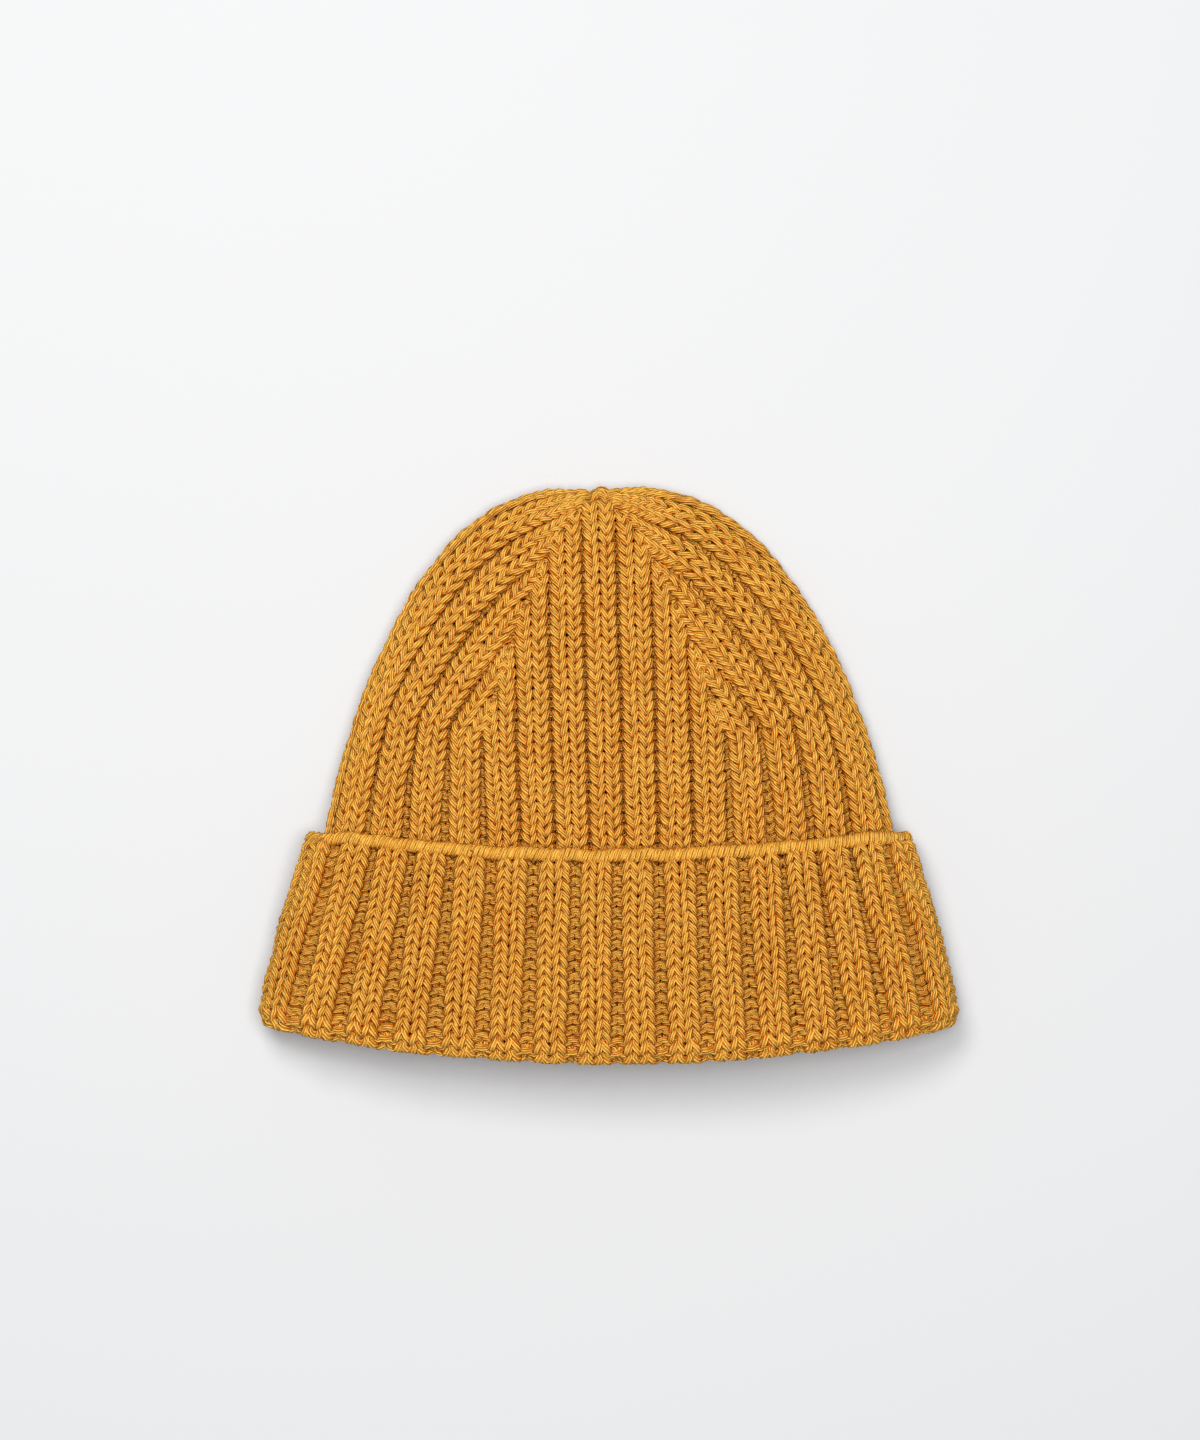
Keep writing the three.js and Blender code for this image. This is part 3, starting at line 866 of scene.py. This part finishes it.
def fuzz_tree():
    """Fibres on the faces that look out of the knitting and up, leaning every way."""
    g = NodeTree("wool fuzz", [
        ("Fibres Per Area", "Float", FIBRES),
        ("Fibre Length", "Float", 2.4 * MM),
        ("Fibre Width", "Float", 0.07 * MM),
        ("Lean", "Float", 1.25),
        ("Seed", "Int", 3),
        ("Material", "Material", None),
    ])
    given = g.given
    normal = g.add("ShaderNodeSeparateXYZ", Vector=g.add("GeometryNodeInputNormal").outputs[0])
    upward = g.math("GREATER_THAN", normal.outputs["Z"], 0.0)
    outermost = g.math("GREATER_THAN", g.math("ABSOLUTE", g.named("yarn_top")), OUTER_FACE)
    shown = g.math("MULTIPLY", outermost, upward)
    spread = dict(Selection=shown, Density=given["Fibres Per Area"], Seed=given["Seed"])
    places = g.add("GeometryNodeDistributePointsOnFaces", Mesh=given["Geometry"], **spread)
    size = dict(Radius_Top=0.0, Radius_Bottom=given["Fibre Width"], Depth=given["Fibre Length"])
    fibre = g.add("GeometryNodeMeshCone", Vertices=FIBRE_SIDES, **size)
    low = g.add("ShaderNodeCombineXYZ", X=g.math("MULTIPLY", given["Lean"], -1.0), Z=-math.pi).outputs[0]
    high = g.add("ShaderNodeCombineXYZ", X=given["Lean"], Z=math.pi).outputs[0]
    lean = g.add("FunctionNodeRandomValue", {"data_type": "FLOAT_VECTOR"})
    g.feed(lean.inputs[0], low)
    g.feed(lean.inputs[1], high)
    turned = g.add("FunctionNodeRotateRotation", Rotate_By=lean.outputs[0])
    g.feed(turned.inputs["Rotation"], places.outputs["Rotation"])
    length = g.add("FunctionNodeRandomValue", {"data_type": "FLOAT"})
    g.feed(length.inputs[2], SHORTEST_FIBRE)
    g.feed(length.inputs[3], 1.0)
    put = dict(Points=places.outputs["Points"], Instance=fibre.outputs["Mesh"], Rotation=turned.outputs[0])
    fibres = g.add("GeometryNodeInstanceOnPoints", Scale=length.outputs[1], **put).outputs[0]
    fibres = g.add("GeometryNodeRealizeInstances", Geometry=fibres).outputs[0]
    # The fibres get none of the painted flank shade
    return g.finish(g.store(fibres, "yarn_flank_shade", "FLOAT", 0.0))


fuzz = fuzz_tree()
for name, covered, slot, node, material in (
    ("fuzz_crown_lower", "crown_front_lower", "crown_yarn", "crown", crown_wool),
    ("fuzz_crown_shaped", "crown_front_shaped", "crown_yarn", "crown", crown_wool),
    ("fuzz_cuff_above", "cuff_front_above", "cuff_yarn", "turned_cuff", cuff_wool),
    ("fuzz_cuff_below", "cuff_front_below", "cuff_yarn", "turned_cuff", cuff_wool),
    ("fuzz_cast_on_1", "cast_on_edge_1", "cuff_yarn", "turned_cuff", edge_wool),
    ("fuzz_cast_on_2", "cast_on_edge_2", "cuff_yarn", "turned_cuff", edge_wool),
):
    source = bpy.data.objects.new(name + "_guide", bpy.data.objects[covered].data)
    values = {"Material": material, "Fibres Per Area": CAST_ON_FIBRES if "cast_on" in name else FIBRES}
    shape_with(fuzz, name, source, node, values)


# Floor. A pale smooth sheet of matt studio paper that the hat lies on. It reaches far past the
# picture on every side.
FLOOR_HALF = 3.0
PAPER_GREY = (0.58, 0.58, 0.585)
paper = bpy.data.materials.new("pale paper")
paper.use_nodes = True
paper.node_tree.nodes["Principled BSDF"].inputs["Base Color"].default_value = (*PAPER_GREY, 1)
paper.node_tree.nodes["Principled BSDF"].inputs["Roughness"].default_value = 0.9
floor_mesh = bpy.data.meshes.new("floor")
corners = [(x * FLOOR_HALF, y * FLOOR_HALF, 0) for x, y in ((-1, -1), (1, -1), (1, 1), (-1, 1))]
floor_mesh.from_pydata(corners, [], [(0, 1, 2, 3)])
floor_mesh.materials.append(paper)
floor = bpy.data.objects.new("floor", floor_mesh)
bpy.context.scene.collection.objects.link(floor)


# Light. A soft lamp over the tip of the hat, a wider one overhead, and a dim pale room. The hat
# throws a soft shadow toward its mouth.
def softbox(name, place, size, power, colour):
    light = bpy.data.lights.new(name, "AREA")
    light.shape = "DISK"
    light.size = size
    light.energy = power
    light.color = colour
    lamp = bpy.data.objects.new(name, light)
    lamp.location = place
    lamp.rotation_mode = "QUATERNION"
    lamp.rotation_quaternion = (-Vector(place)).to_track_quat("-Z", "Y")
    bpy.context.scene.collection.objects.link(lamp)


softbox("key", place=(-0.26, 0.5, 1.3), size=0.6, power=12.7, colour=(1.0, 0.985, 0.96))
softbox("fill", place=(0.2, 0.02, 2.7), size=1.4, power=61, colour=(0.97, 0.985, 1.0))
world = bpy.data.worlds.new("pale room")
world.use_nodes = True
world.node_tree.nodes["Background"].inputs["Color"].default_value = (0.95, 0.97, 1.0, 1)
world.node_tree.nodes["Background"].inputs["Strength"].default_value = 0.2
bpy.context.scene.world = world
bpy.context.scene.view_settings.view_transform = "Standard"


# Camera. Straight above the hat with a long lens, framed as the photograph is: 1200 by 1440
# pixels, and 3 of them to the millimetre on the hat.
FRAME_CENTRE = (-3.0 * MM, 17.8 * MM)
FRAME_HEIGHT = 480 * MM
CAMERA_HEIGHT = 2.4
HAT_LEVEL = 25 * MM
lens = bpy.data.cameras.new("camera")
lens.sensor_width = 36
lens.lens = lens.sensor_width * (CAMERA_HEIGHT - HAT_LEVEL) / FRAME_HEIGHT
camera = bpy.data.objects.new("camera", lens)
camera.location = (*FRAME_CENTRE, CAMERA_HEIGHT)
bpy.context.scene.collection.objects.link(camera)
bpy.context.scene.camera = camera
